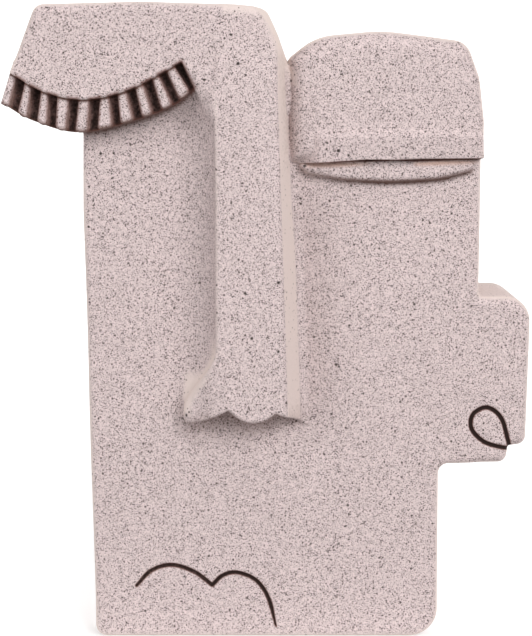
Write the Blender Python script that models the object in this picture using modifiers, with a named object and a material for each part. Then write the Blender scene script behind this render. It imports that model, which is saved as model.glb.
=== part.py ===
"""An abstract face for a shelf or table, cast in one piece and finished like speckled stone.

The face looks along -Y and stands on its flat foot at z = 0. Its plan is drawn seen from the
front, x to the right and z up, in units of a three-hundredth of the height. Depths are real
sizes, measured from the flat back or from the plane of the cheeks.
"""

import math

import bmesh
import bpy
from mathutils import Matrix, Vector

# Driving sizes, in metres
HEIGHT = 0.300
SLAB_DEPTH = 0.062
NOSE_RISE = 0.020
LID_RISE = 0.0168
LASH_RISE = 0.0143
LASH_GAP_DEPTH = 0.005
LASH_GAP_WIDTH = 0.0047
LASH_GAPS = 10
CROWN_RISE = 0.0035
DOME_RISE = 0.0085
LID_RIM_RISE = 0.0012
LOWER_LID_RISE = 0.0034
CHEEK_ROUND = 0.003
BACK_ROUND = 0.003
BROW_ROUND = 0.004
DOME_ROUND = 0.007
LID_RIM_ROUND = 0.0007
LOWER_LID_ROUND = 0.002
RIDGE_ROUND = 0.0018
MOUTH_WIDTH = 0.0024
EAR_LINE_WIDTH = 0.0026

# Depths along Y, with the whole sculpture centred on y = 0
BACK = (SLAB_DEPTH + NOSE_RISE) / 2
CHEEK = BACK - SLAB_DEPTH
CORE = (BACK + CHEEK) / 2
NOSE_ROOT = CHEEK + 0.011
TRIM = 0.001
OVERLAP = 0.0002

# A unit of the plan, and how finely the skin is made
UNIT = HEIGHT / 300
ARC_STEP = math.radians(15)
SMALLEST_ARC = 0.01
ROUND_STEPS = 3
CURVE_STEPS = 5
SNAP = 1e-6
SKIN_CELL = 0.0008
SOFTENING = 3
TRIANGLES = 8600
FLAT_ENOUGH = 0.00005
STRAIGHT = math.radians(0.1)
SHARP = math.radians(32)

# Plans, as (x, z, corner radius) in units, clockwise from the lower left
BELOW_FOOT = -TRIM / UNIT
TRUNK = (
    (-84.5, BELOW_FOOT, 6),
    (-86.3, 110, 0),
    (-87.6, 205, 0),
    (-86.8, 262, 0),
    (-78, 276, 0),
    (0, 276, 0),
    (10, 262, 0),
    (84, 262, 0),
    (90, 240, 0),
    (97.2, 233, 0),
    (97.2, 164.8, 0),
    (121.9, 164.8, 12),
    (120.8, 94, 5),
    (112.6, 93, 0),
    (111.6, 85, 6),
    (79.6, 84.4, 4.5),
    (79.9, BELOW_FOOT, 14),
)
LID_TOP = ((-117.7, 268, 0), (-106, 298.6, 5.5), (-58, 300, 90), (-14, 297.6, 0), (-14, 268, 0), (-34, 274, 0))
LASH_ROOT = ((-115.9, 272), (-102, 266), (-84.5, 262), (-64, 266), (-44, 276.5), (-30, 277))
CROWN = (
    (-34, 250, 0),
    (-34, 298, 0),
    (-16, 298.2, 20),
    (-2.4, 297.2, 6),
    (3, 285, 14),
    (6.8, 273, 0),
    (16, 262, 0),
    (16, 250, 0),
)
DOME = (
    (7.5, 229.8, 0),
    (7.5, 274.9, 0),
    (20, 284.8, 34),
    (46, 287, 70),
    (89, 282.4, 9),
    (95.4, 266, 16),
    (97.9, 246, 24),
    (97.9, 229.8, 0),
)
LID_RIM = ((13.5, 229, 0), (14, 235, 4), (25, 241.2, 30), (83, 241.4, 40), (95.2, 235.6, 4), (95.6, 229, 0))
LOWER_LID = (
    (14.5, 227.4, 0),
    (95.6, 227.7, 0),
    (90, 222.4, 5),
    (77, 219.2, 14),
    (56, 218.4, 30),
    (34, 219, 20),
    (14.6, 222, 2),
)

# Curves in the plan that pass through each point
LID_LINE = ((-117.7, 268), (-102.6, 259.5), (-84.5, 256), (-64.1, 260.4), (-40.5, 272.7))
LASH_EDGE = ((-122.4, 254.2), (-108.4, 246.6), (-86.8, 241.3), (-60, 246.6), (-42.3, 255.6), (-30, 261.6))
LEFT_LIP = ((-64.6, 25.4), (-57.6, 32.7), (-47.8, 35.6), (-37, 32.2), (-28.4, 25.6))
RIGHT_LIP = ((-28.4, 25.6), (-23.2, 30.4), (-16.4, 31.8), (-7.4, 28), (-1.4, 19), (2.1, 5.5))
EAR_LINE = (
    (116, 91),
    (111.6, 97.6),
    (108.6, 106.9),
    (101.8, 112.2),
    (95, 109),
    (94.4, 102.4),
    (99.2, 96.6),
    (105.6, 93.8),
    (116, 92.2),
)

# The sunk lines thin out over this share of their length, to this share of their width
LINE_TAPER = 0.2
LINE_TIP = 0.4

# Where the first and last lash gaps lie along the lid line and the lash edge, and how far, in
# units, a gap's cutter runs past both
GAP_TOPS = (0.075, 0.995)
GAP_FEET = (0.06, 0.92)
GAP_OVERRUN = 4

# The nose, in units: its ridge, cove, wing and foot
NOSE_TOP = 298
NOSE_BASE = 112
NOSE_TOP_ROUND = 5
RIDGE_LEFT = -25.6
RIDGE_RIGHT = 1.6
RIDGE_LEAN = 0.0325
RIDGE_STEPS = 12
ARRIS = (0, math.pi / 4)
RIDGE_FADE = (258, 291)
FOOT_RIGHT = 7.4
FOOT_LEAN = 0.039
BRIDGE = 274
CROWN_TAPER = 11
WING_TOP = 143
WING_REACH = 14.8
WING_SHOULDER = 5
WING_FALL = 12
COVE_WIDTH = 20
COVE_WIDTH_TOP = 4
COVE_WIDTH_WING = 5
NOSE_START = -54
FOREHEAD_TOP = 281
FOREHEAD_FOOT = 229
FOREHEAD_SPREAD = 0.8
LOBES = ((-44, 113.8, 3.6), (-20, 114.4, 5.4), (1.5, 113, 2.4), (14.5, 114.4, 0))
LOBE_FADE = 4
UNDERSIDE_SLOPE = 5
NOSE_ROWS = 28
COVE_STEPS = 7


def smooth_step(share):
    share = min(max(share, 0.0), 1.0)
    return share * share * (3 - 2 * share)


def in_metres(points):
    return [(x * UNIT, z * UNIT) for x, z in points]


def rounded(corners):
    """Points round a closed plan in units, each corner an arc of its own radius."""
    points = []
    for index, (x, z, radius) in enumerate(corners):
        corner = Vector((x, z))
        towards_last = Vector(corners[index - 1][:2]) - corner
        towards_next = Vector(corners[(index + 1) % len(corners)][:2]) - corner
        room = min(towards_last.length, towards_next.length) / 2 - SMALLEST_ARC
        towards_last.normalize()
        towards_next.normalize()
        half = towards_last.angle(towards_next) / 2
        reach = min(radius / math.tan(half), room)
        if reach < SMALLEST_ARC:
            points.append((x, z))
            continue
        centre = corner + (towards_last + towards_next).normalized() * (reach / math.cos(half))
        start = corner + towards_last * reach - centre
        turn = math.pi - 2 * half
        if start.x * towards_last.y - start.y * towards_last.x > 0:
            turn = -turn
        steps = max(2, math.ceil(abs(turn) / ARC_STEP))
        for step in range(steps + 1):
            arm = Matrix.Rotation(turn * step / steps, 2) @ start
            points.append(tuple(centre + arm))
    return points


def through(points):
    """A smooth curve through each point, as a chain of cubic arcs."""
    ends = [2 * Vector(points[0]) - Vector(points[1])]
    knots = ends + [Vector(point) for point in points]
    knots.append(2 * knots[-1] - knots[-2])
    curve = []
    for a, b, c, d in zip(knots, knots[1:], knots[2:], knots[3:]):
        for step in range(CURVE_STEPS):
            t = step / CURVE_STEPS
            drift = (c - a) * t + (2 * a - 5 * b + 4 * c - d) * t**2 + (3 * b - a - 3 * c + d) * t**3
            curve.append(tuple(b + drift / 2))
    curve.append(tuple(points[-1]))
    return curve


def spaced(curve, count, ends):
    """Points evenly apart along a curve, between two shares of its length."""
    lengths = [0.0]
    for a, b in zip(curve, curve[1:]):
        lengths.append(lengths[-1] + math.dist(a, b))
    first, last = ends
    found = []
    for index in range(count):
        want = lengths[-1] * (first + (last - first) * index / max(count - 1, 1))
        place = max(k for k in range(len(curve) - 1) if lengths[k] <= want)
        share = (want - lengths[place]) / (lengths[place + 1] - lengths[place])
        found.append(Vector(curve[place]).lerp(Vector(curve[place + 1]), share))
    return found


def new_collection(name, hidden=False):
    collection = bpy.data.collections.new(name)
    collection.hide_render = hidden
    bpy.context.scene.collection.children.link(collection)
    return collection


def as_helper(obj):
    obj.hide_render = True
    obj.display_type = "WIRE"
    return obj


def add_mesh(name, bm, collection):
    bmesh.ops.triangulate(bm, faces=bm.faces)
    bmesh.ops.recalc_face_normals(bm, faces=bm.faces)
    mesh = bpy.data.meshes.new(name)
    bm.to_mesh(mesh)
    bm.free()
    obj = bpy.data.objects.new(name, mesh)
    collection.objects.link(obj)
    return obj


def from_curve(curve, matrix, collection):
    """The welded mesh of a curve object, which is removed."""
    collection.objects.link(curve)
    curve.matrix_world = matrix
    bpy.context.view_layer.update()
    graph = bpy.context.evaluated_depsgraph_get()
    mesh = bpy.data.meshes.new_from_object(curve.evaluated_get(graph))
    name = curve.name
    data = curve.data
    bpy.data.objects.remove(curve)
    bpy.data.curves.remove(data)
    bm = bmesh.new()
    bm.from_mesh(mesh)
    bpy.data.meshes.remove(mesh)
    bmesh.ops.transform(bm, matrix=matrix, verts=bm.verts)
    bmesh.ops.remove_doubles(bm, verts=bm.verts, dist=SNAP)
    return name, bm


def on_rim(edge, level, round_below):
    """Whether an edge borders the face at one depth, and may be rounded."""
    side = min(edge.link_faces, key=lambda face: abs(face.normal.y))
    if side.normal.z < -0.5 and not round_below:
        return False
    return all(abs(vert.co.y - level) < SNAP for vert in edge.verts)


def slab(name, plan, front, back, collection, front_round=0.0, back_round=0.0, round_below=True):
    """A plan extruded from the back to the front, with the rims of its two faces rounded."""
    data = bpy.data.curves.new(name, "CURVE")
    data.dimensions = "2D"
    data.fill_mode = "BOTH"
    data.extrude = (back - front) / 2
    spline = data.splines.new("POLY")
    points = in_metres(plan)
    spline.points.add(len(points) - 1)
    for point, (x, z) in zip(spline.points, points):
        point.co = (x, z, 0, 1)
    spline.use_cyclic_u = True
    upright = Matrix.Translation((0, (front + back) / 2, 0)) @ Matrix.Rotation(math.pi / 2, 4, "X")
    name, bm = from_curve(bpy.data.objects.new(name, data), upright, collection)
    bmesh.ops.dissolve_limit(bm, angle_limit=STRAIGHT, verts=bm.verts, edges=bm.edges)
    bmesh.ops.recalc_face_normals(bm, faces=bm.faces)
    for level, radius in ((front, front_round), (back, back_round)):
        rim = [edge for edge in bm.edges if on_rim(edge, level, round_below)]
        if radius > 0:
            bmesh.ops.bevel(bm, geom=rim, offset=radius, segments=ROUND_STEPS, profile=0.5, affect="EDGES")
    for vert in bm.verts:
        for level in (front, back):
            if abs(vert.co.y - level) < SNAP:
                vert.co.y = level
    return add_mesh(name, bm, collection)


def groove(name, points, width, collection, free_start=True, free_end=True):
    """A tube, tapered at its free ends, whose inner half sinks a drawn line into the cheek."""
    data = bpy.data.curves.new(name, "CURVE")
    data.dimensions = "3D"
    data.fill_mode = "FULL"
    data.bevel_depth = width / 2
    data.bevel_resolution = 2
    data.use_fill_caps = True
    spline = data.splines.new("POLY")
    line = in_metres(through(points))
    spline.points.add(len(line) - 1)
    for index, (point, (x, z)) in enumerate(zip(spline.points, line)):
        share = index / (len(line) - 1)
        point.co = (x, CHEEK, z, 1)
        from_start = share / LINE_TAPER if free_start else 1.0
        from_end = (1 - share) / LINE_TAPER if free_end else 1.0
        point.radius = LINE_TIP + (1 - LINE_TIP) * min(1.0, from_start, from_end)
    name, bm = from_curve(bpy.data.objects.new(name, data), Matrix.Identity(4), collection)
    return as_helper(add_mesh(name, bm, collection))


def lash_gaps(collection):
    """The sunk gaps between the lashes, fanned between the lid line and the lash edge."""
    tops = spaced(through(LID_LINE), LASH_GAPS, GAP_TOPS)
    feet = spaced(through(LASH_EDGE), LASH_GAPS, GAP_FEET)
    floor = CHEEK - LASH_RISE + LASH_GAP_DEPTH
    proud = CHEEK - NOSE_RISE - LASH_GAP_DEPTH
    for index, (top, foot) in enumerate(zip(tops, feet)):
        along = (foot - top) * UNIT
        middle = (top + foot) / 2 * UNIT
        bpy.ops.mesh.primitive_cube_add(size=1)
        cutter = bpy.context.object
        cutter.name = f"lash_gap_{index + 1}"
        lean = math.atan2(along.x, -along.y)
        place = Matrix.Translation((middle.x, (floor + proud) / 2, middle.y))
        turn = Matrix.Rotation(-lean, 4, "Y")
        length = along.length + 2 * GAP_OVERRUN * UNIT
        size = Matrix.Diagonal((LASH_GAP_WIDTH, floor - proud, length, 1))
        cutter.data.transform(place @ turn @ size)
        for owner in list(cutter.users_collection):
            owner.objects.unlink(cutter)
        collection.objects.link(as_helper(cutter))


def ridge_left(z):
    return RIDGE_LEFT - WING_REACH * smooth_step((WING_TOP - z) / (WING_TOP - NOSE_BASE))


def wing_fall(x):
    """How far the wing of the nose falls back, to the left of the ridge."""
    return WING_FALL * UNIT * smooth_step((RIDGE_LEFT + WING_SHOULDER - x) / (WING_REACH + WING_SHOULDER))


def taper(z):
    """How far the crown draws the nose's right side in, above the bridge."""
    return CROWN_TAPER * (max(z - BRIDGE, 0) / (NOSE_TOP - BRIDGE)) ** 2


def ridge_right(z):
    return RIDGE_RIGHT + (BRIDGE - min(z, BRIDGE)) * RIDGE_LEAN - taper(z)


def foot_right(z):
    return FOOT_RIGHT + (BRIDGE - min(z, BRIDGE)) * FOOT_LEAN - taper(z)


def cove_width(z):
    brow = smooth_step((z - FOREHEAD_FOOT) / (FOREHEAD_TOP - FOREHEAD_FOOT))
    wing = smooth_step((WING_TOP - z) / (WING_TOP - NOSE_BASE))
    return COVE_WIDTH - (COVE_WIDTH - COVE_WIDTH_TOP) * brow - (COVE_WIDTH - COVE_WIDTH_WING) * wing


def forehead(x, z):
    """How far the forehead stands in front of the cheek, where it slopes down beside the lashes."""
    foot = FOREHEAD_FOOT + FOREHEAD_SPREAD * (RIDGE_LEFT - x)
    return LID_RISE * smooth_step((z - foot) / (FOREHEAD_TOP - foot))


def lobed(x):
    """The height of the nose's lower edge, which hangs in lobes between cusps."""
    for (x0, z0, sag), (x1, z1, _) in zip(LOBES, LOBES[1:]):
        if x <= x1:
            share = min(max((x - x0) / (x1 - x0), 0.0), 1.0)
            return z0 + (z1 - z0) * share - 4 * sag * share * (1 - share)
    return LOBES[-1][1]


def nose_section(z):
    """One level of the nose as (x in metres, y), from the forehead over the ridge to the foot."""
    left = ridge_left(z)
    width = cove_width(z)
    fade_foot, fade_top = RIDGE_FADE
    tip = CHEEK - NOSE_RISE + (NOSE_RISE - LID_RISE) * smooth_step((z - fade_foot) / (fade_top - fade_foot))
    wing_tip = tip + wing_fall(left)
    section = []
    for x in (NOSE_START, (NOSE_START + left - width) / 2):
        section.append((x * UNIT, CHEEK - forehead(x, z) + OVERLAP))
    for step in range(COVE_STEPS):
        angle = math.pi / 2 * step / COVE_STEPS
        x = left - width * (1 - math.sin(angle))
        low = CHEEK - forehead(x, z) + OVERLAP
        section.append((x * UNIT, wing_tip + (low - wing_tip) * math.cos(angle)))
    edge = left * UNIT + RIDGE_ROUND
    right = ridge_right(z) * UNIT - RIDGE_ROUND
    foot = foot_right(z) * UNIT
    for angle in ARRIS:
        section.append((edge - RIDGE_ROUND * math.cos(angle), wing_tip + RIDGE_ROUND * (1 - math.sin(angle))))
    for step in range(RIDGE_STEPS + 1):
        share = step / RIDGE_STEPS
        x = edge * (1 - share) + right * share
        section.append((x, tip + wing_fall(x / UNIT)))
    for angle in reversed(ARRIS):
        section.append((right + RIDGE_ROUND * math.cos(angle), tip + RIDGE_ROUND * (1 - math.sin(angle))))
    section.append((foot, CHEEK - CROWN_RISE))
    section.append((foot + OVERLAP, CHEEK + 2 * OVERLAP))
    return section


def add_nose(collection):
    """The forehead and nose, lofted from level to level because no two sections are alike."""
    bm = bmesh.new()
    rows = []
    for row in range(NOSE_ROWS + 1):
        share = row / NOSE_ROWS
        z = NOSE_BASE + (NOSE_TOP - NOSE_BASE) * share
        above = max(z - (NOSE_TOP - NOSE_TOP_ROUND), 0)
        fall = (NOSE_TOP_ROUND - math.sqrt(max(NOSE_TOP_ROUND**2 - above**2, 0))) * UNIT
        fade = (1 - share) ** LOBE_FADE
        front = []
        back = []
        for x, y in nose_section(z):
            lift = (lobed(x / UNIT) - NOSE_BASE) * fade
            height = (z + lift) * UNIT
            front.append(bm.verts.new((x, min(y + fall, NOSE_ROOT - OVERLAP), height)))
            back.append(bm.verts.new((x, NOSE_ROOT, height + UNDERSIDE_SLOPE * UNIT * fade)))
        rows.append(front + back[::-1])
    for lower, upper in zip(rows, rows[1:]):
        for index in range(len(lower)):
            bm.faces.new((lower[index - 1], lower[index], upper[index], upper[index - 1]))
    for ring in (rows[0], rows[-1]):
        for index in range(len(ring) // 2 - 1):
            bm.faces.new((ring[index], ring[index + 1], ring[-index - 2], ring[-index - 1]))
    return add_mesh("nose", bm, collection)


def combine(target, other, operation):
    boolean = target.modifiers.new(f"{operation.lower()} {other.name}", "BOOLEAN")
    boolean.operation = operation
    boolean.solver = "MANIFOLD"
    if isinstance(other, bpy.types.Collection):
        boolean.operand_type = "COLLECTION"
        boolean.collection = other
    else:
        boolean.object = other


def plain_mesh(obj):
    """Replaces an object's mesh with what its modifiers make of it."""
    graph = bpy.context.evaluated_depsgraph_get()
    mesh = bpy.data.meshes.new_from_object(obj.evaluated_get(graph))
    obj.modifiers.clear()
    obj.data = mesh


def cut_flat(bm, point, normal):
    """Cuts away what lies beyond a plane and closes the cut with one face."""
    geometry = bm.verts[:] + bm.edges[:] + bm.faces[:]
    cut = bmesh.ops.bisect_plane(bm, geom=geometry, dist=SNAP, plane_co=point, plane_no=normal, clear_outer=True)
    rim = [item for item in cut["geom_cut"] if isinstance(item, bmesh.types.BMEdge)]
    bmesh.ops.contextual_create(bm, geom=rim)


def as_cast(face):
    """Gives the joined forms one skin, as a casting has, then cuts its foot and back flat."""
    skin = face.modifiers.new("one skin", "REMESH")
    skin.mode = "VOXEL"
    skin.voxel_size = SKIN_CELL
    soften = face.modifiers.new("softened edges", "SMOOTH")
    soften.factor = 0.5
    soften.iterations = SOFTENING
    plain_mesh(face)
    bm = bmesh.new()
    bm.from_mesh(face.data)
    cut_flat(bm, (0, 0, 0), (0, 0, -1))
    cut_flat(bm, (0, BACK, 0), (0, 1, 0))
    bmesh.ops.triangulate(bm, faces=bm.faces)
    count = len(bm.faces)
    bm.to_mesh(face.data)
    bm.free()
    lighter = face.modifiers.new("fewer triangles", "DECIMATE")
    lighter.ratio = TRIANGLES / count
    plain_mesh(face)
    for vert in face.data.vertices:
        if abs(vert.co.z) < FLAT_ENOUGH:
            vert.co.z = 0
        if abs(vert.co.y - BACK) < FLAT_ENOUGH:
            vert.co.y = BACK
    face.data.shade_smooth()
    face.data.set_sharp_from_angle(angle=SHARP)


def stone_finish():
    material = bpy.data.materials.new("speckled stone finish")
    material.use_nodes = True
    shader = material.node_tree.nodes["Principled BSDF"]
    shader.inputs["Base Color"].default_value = (0.62, 0.52, 0.50, 1)
    shader.inputs["Roughness"].default_value = 0.85
    shader.inputs["Metallic"].default_value = 0.0
    return material


def build():
    for obj in list(bpy.data.objects):
        bpy.data.objects.remove(obj)
    figure = new_collection("abstract face sculpture")
    forms = new_collection("forms and cutters", hidden=True)
    gaps = new_collection("lash gaps", hidden=True)

    back = BACK + TRIM
    face = slab("face_sculpture", rounded(TRUNK), CHEEK, back, figure, CHEEK_ROUND, BACK_ROUND)
    lash_plan = through(LASH_EDGE)[::-1] + list(LASH_ROOT)
    lashes = slab("lashes", lash_plan, CHEEK - LASH_RISE, back, forms, 0.0, BACK_ROUND)
    lid_plan = through(LID_LINE)[::-1] + rounded(LID_TOP)[1:]
    lid = slab("lid", lid_plan, CHEEK - LID_RISE, back, forms, BROW_ROUND, BACK_ROUND, False)
    crown = slab("crown", rounded(CROWN), CHEEK - CROWN_RISE, back, forms, 0.0, BACK_ROUND)
    dome = slab("dome", rounded(DOME), CHEEK - DOME_RISE, back, forms, DOME_ROUND, BACK_ROUND, False)
    rim_front = CHEEK - DOME_RISE - LID_RIM_RISE
    lid_rim = slab("lid rim", rounded(LID_RIM), rim_front, CORE, forms, LID_RIM_ROUND)
    lower_front = CHEEK - LOWER_LID_RISE
    lower_lid = slab("lower lid", rounded(LOWER_LID), lower_front, CORE, forms, LOWER_LID_ROUND)
    nose = add_nose(forms)
    lash_gaps(gaps)
    lines = [
        groove("left lip", LEFT_LIP, MOUTH_WIDTH, forms, free_end=False),
        groove("right lip", RIGHT_LIP, MOUTH_WIDTH, forms, free_start=False),
        groove("ear line", EAR_LINE, EAR_LINE_WIDTH, forms, False, False),
    ]
    for form in (lashes, lid, crown, dome, lid_rim, lower_lid, nose):
        as_helper(form)

    combine(face, lashes, "UNION")
    combine(face, nose, "UNION")
    combine(face, gaps, "DIFFERENCE")
    for form in (lid, crown, dome, lid_rim, lower_lid):
        combine(face, form, "UNION")
    for line in lines:
        combine(face, line, "DIFFERENCE")
    as_cast(face)
    face.data.materials.append(stone_finish())


build()
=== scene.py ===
# %% [markdown]
# # An abstract face in a speckled stone finish
#
# The real thing is a table ornament, cast in one piece and then coated. It is a thick slab, cut
# to the outline of two heads that share a nose. One head has an overhanging lid with a band of
# lashes, the other a domed eye above a slit, and an ear that steps out low on the side.
# This notebook makes its fine surface and its finish, round the plain solid that model.glb
# holds, and then sets it in a small white studio.

import itertools
import math

import bmesh
import bpy
import numpy as np
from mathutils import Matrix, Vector


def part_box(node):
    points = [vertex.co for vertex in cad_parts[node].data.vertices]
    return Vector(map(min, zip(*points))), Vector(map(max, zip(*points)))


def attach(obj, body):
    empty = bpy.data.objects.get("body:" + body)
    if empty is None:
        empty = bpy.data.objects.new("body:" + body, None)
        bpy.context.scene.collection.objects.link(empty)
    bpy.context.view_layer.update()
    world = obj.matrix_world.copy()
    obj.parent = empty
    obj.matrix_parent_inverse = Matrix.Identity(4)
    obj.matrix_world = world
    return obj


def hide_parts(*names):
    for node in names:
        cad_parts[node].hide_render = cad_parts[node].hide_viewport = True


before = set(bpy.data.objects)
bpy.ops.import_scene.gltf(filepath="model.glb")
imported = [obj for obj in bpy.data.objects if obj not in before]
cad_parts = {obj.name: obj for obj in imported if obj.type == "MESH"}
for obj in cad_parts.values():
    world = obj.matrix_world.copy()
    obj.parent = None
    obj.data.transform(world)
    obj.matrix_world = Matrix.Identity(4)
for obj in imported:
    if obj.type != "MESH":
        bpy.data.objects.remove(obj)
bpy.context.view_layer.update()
node_low, node_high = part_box("face_sculpture")
print("the solid is", [round(1000 * side, 1) for side in node_high - node_low], "mm")

# %% [markdown]
# ## The camera
#
# A camera is the first thing to settle, because every later judgement is made through it.
# It stands 0.76 m in front of the slab's middle and looks down by 8 degrees, with a long lens
# that keeps the sides of the slab almost parallel. The lens could be given in millimetres, but
# a distance in picture heights is easier to reason about, so it is worked out from that.

# %% Set the camera
VIEW_HEIGHT = 636
FOCAL_LENGTH = 1600
CAMERA_PLACE = (-0.0026, -0.7619, 0.2590)
CAMERA_DOWN = math.radians(8)

camera_data = bpy.data.cameras.new("studio camera")
camera_data.sensor_fit = "VERTICAL"
camera_data.sensor_height = 36
camera_data.lens = camera_data.sensor_height * FOCAL_LENGTH / VIEW_HEIGHT
camera = bpy.data.objects.new("studio_camera", camera_data)
camera.location = CAMERA_PLACE
camera.rotation_euler = (math.pi / 2 - CAMERA_DOWN, 0, 0)
bpy.context.scene.collection.objects.link(camera)
bpy.context.scene.camera = camera
print("lens", round(camera_data.lens, 1), "mm")

# %% [markdown]
# ## Units and depths
#
# A figure like this is drawn before it is carved. The drawing here is seen from the front, with
# x to the right and z up, in units of a three-hundredth of the height, so a unit is one
# millimetre on this ornament. The third measure is how far the surface stands ahead of the
# plane of the cheeks: the nose is 20 units ahead of it, and the flat back 62 units behind it.

# %% Name the depths
PLAN_HEIGHT = 300
UNIT = (node_high.z - node_low.z) / PLAN_HEIGHT
NOSE_AHEAD = 20
CHEEK_Y = node_low.y + NOSE_AHEAD * UNIT
BACK_AHEAD = -(node_high.y - CHEEK_Y) / UNIT
LID_AHEAD = 16.8
LASH_AHEAD = 14.3
GAP_AHEAD = 9.0
CROWN_AHEAD = 3.5
DOME_AHEAD = 8.3
DOME_CROWNING = 0.7
RIM_RISE = 1.7
LOWER_LID_AHEAD = 5.2
SLIT_AHEAD = 3.8
print("a unit is", round(1000 * UNIT, 3), "mm, and the back is at", round(BACK_AHEAD, 1))

# %% [markdown]
# ## Lines of the drawing
#
# Straight outlines with rounded corners suit a moulded slab, so a plan is a list of corners,
# each with the radius of its arc. The lid, the lashes, the mouth and the ear are free forms
# instead, so they are given as curves through a few points. Both could be Blender curve
# objects. Plain numpy points are used here because the next step measures distances to them.

# %% Turn corners and points into lines
ARC_STEP = math.radians(8)
CURVE_STEPS = 8
SMALLEST_ARC = 0.01


def rounded(corners):
    """Points round a closed plan, each corner (x, z, radius) an arc of its own."""
    points = []
    for index, (x, z, radius) in enumerate(corners):
        corner_point = Vector((x, z))
        towards_last = Vector(corners[index - 1][:2]) - corner_point
        towards_next = Vector(corners[(index + 1) % len(corners)][:2]) - corner_point
        room = min(towards_last.length, towards_next.length) / 2 - SMALLEST_ARC
        towards_last.normalize()
        towards_next.normalize()
        half = towards_last.angle(towards_next) / 2
        reach = min(radius / math.tan(half), room)
        if reach < SMALLEST_ARC:
            points.append((x, z))
            continue
        middle = (towards_last + towards_next).normalized()
        centre = corner_point + middle * (reach / math.cos(half))
        start = corner_point + towards_last * reach - centre
        sweep = math.pi - 2 * half
        if start.x * towards_last.y - start.y * towards_last.x > 0:
            sweep = -sweep
        steps = max(2, math.ceil(abs(sweep) / ARC_STEP))
        for step in range(steps + 1):
            angle = sweep * step / steps
            across = start.x * math.cos(angle) - start.y * math.sin(angle)
            up = start.x * math.sin(angle) + start.y * math.cos(angle)
            points.append((centre.x + across, centre.y + up))
    return points


def through(points):
    """A smooth curve through each point, as a chain of cubic arcs."""
    knots = [2 * Vector(points[0]) - Vector(points[1])] + [Vector(point) for point in points]
    knots.append(2 * knots[-1] - knots[-2])
    curve = []
    for a, b, c, d in zip(knots, knots[1:], knots[2:], knots[3:]):
        for step in range(CURVE_STEPS):
            t = step / CURVE_STEPS
            drift = (c - a) * t + (2 * a - 5 * b + 4 * c - d) * t**2 + (3 * b - a - 3 * c + d) * t**3
            curve.append(tuple(b + drift / 2))
    curve.append(tuple(points[-1]))
    return curve


def places_along(curve, shares):
    """The points at these shares of a curve's length."""
    curve = np.array(curve)
    lengths = np.concatenate([[0], np.cumsum(np.hypot(*np.diff(curve, axis=0).T))])
    wanted = lengths[-1] * np.array(shares)
    return np.stack([np.interp(wanted, lengths, curve[:, axis]) for axis in (0, 1)], axis=1)


# %% [markdown]
# ## The drawing itself
#
# These are the outlines of the trunk with its ear, of the left head, and of the raised forms on
# the domed eye. They run clockwise from the lower left, and they hold only the corners that a
# maker would mark on the block.

# %% Draw the plans
TRUNK = rounded((
    (-84.6, 0, 5.5),
    (-86.3, 110, 0),
    (-87.6, 205, 0),
    (-86.8, 262, 0),
    (-78, 276, 0),
    (0, 276, 0),
    (10, 262, 0),
    (84, 262, 0),
    (90, 240, 0),
    (97.2, 233, 0),
    (97.2, 164.8, 2),
    (121.8, 164.8, 12),
    (120.8, 94, 5),
    (112.6, 93, 0.8),
    (111.6, 85, 6),
    (79.6, 84.4, 4.5),
    (79.9, 0, 13.5),
))
LEFT_HEAD_TOP = (
    (-117.7, 268, 0),
    (-106, 298.6, 5.5),
    (-58, 300, 90),
    (-16, 298.4, 20),
    (-2.4, 297.2, 6),
    (3, 285, 14),
    (6.8, 273, 0),
    (16, 262, 0),
    (16, 250, 0),
    (-30, 250, 0),
)
DOME = rounded((
    (7.5, 227.2, 0),
    (7.5, 274.9, 3),
    (20, 284.8, 34),
    (50, 287.5, 60),
    (89, 282.4, 9),
    (95.4, 266, 16),
    (97.9, 246, 24),
    (97.6, 229.4, 0),
))
LID_RIM = rounded((
    (12, 227, 0),
    (12, 244, 6),
    (52, 246, 30),
    (96.2, 244, 4),
    (97, 229.4, 0),
))
LOWER_LID = rounded((
    (12.5, 226.6, 0),
    (57, 229.8, 0),
    (96.5, 229.4, 0),
    (92.6, 223.6, 6),
    (77, 219.6, 24),
    (54, 218.3, 40),
    (32, 219.4, 30),
    (16, 222.4, 6),
))
SLIT = (
    (14, 226.9),
    (42.8, 229.0),
    (57, 228.9),
    (67.8, 229.3),
    (97.2, 229.6),
    (97, 229.1),
    (77, 228.45),
    (65, 228.1),
    (57, 228.5),
    (48, 228.1),
    (34.5, 227.8),
    (22, 227.2),
)
LID_LINE = through(((-117.7, 268), (-102.6, 259.5), (-84.5, 256), (-64.1, 260.4), (-40.5, 272.7)))
LASH_EDGE = through((
    (-122.3, 254.4),
    (-108.4, 246.6),
    (-86.8, 241.3),
    (-60, 247.4),
    (-45, 253.4),
    (-38, 258.2),
    (-33.6, 263),
))
LASH_ROOT = ((-28.5, 267.5), (-26, 277), (-44, 280), (-64, 268), (-84.5, 264), (-102, 268), (-115.9, 274))
MOUTH = (
    through(((-64.6, 25.4), (-57.6, 32.7), (-47.8, 35.6), (-37, 32.2), (-28.4, 25.6))),
    through(((2.1, 5.5), (-1.4, 19), (-7.4, 28), (-16.4, 31.8), (-23.2, 30.4), (-28.4, 25.6))),
)
EAR_LINE = through((
    (117.5, 84),
    (112.7, 93.9),
    (108.6, 106.9),
    (101.8, 112.2),
    (95.2, 109),
    (94.4, 102.4),
    (99.2, 96.6),
    (105.6, 93.8),
    (118, 91.4),
))
LEFT_HEAD = LID_LINE[::-1] + rounded(LEFT_HEAD_TOP)[1:]
LASH_BAND = LASH_EDGE[::-1] + list(LASH_ROOT)[::-1]
print(len(TRUNK), "points round the trunk,", len(LEFT_HEAD), "round the left head")

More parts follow.
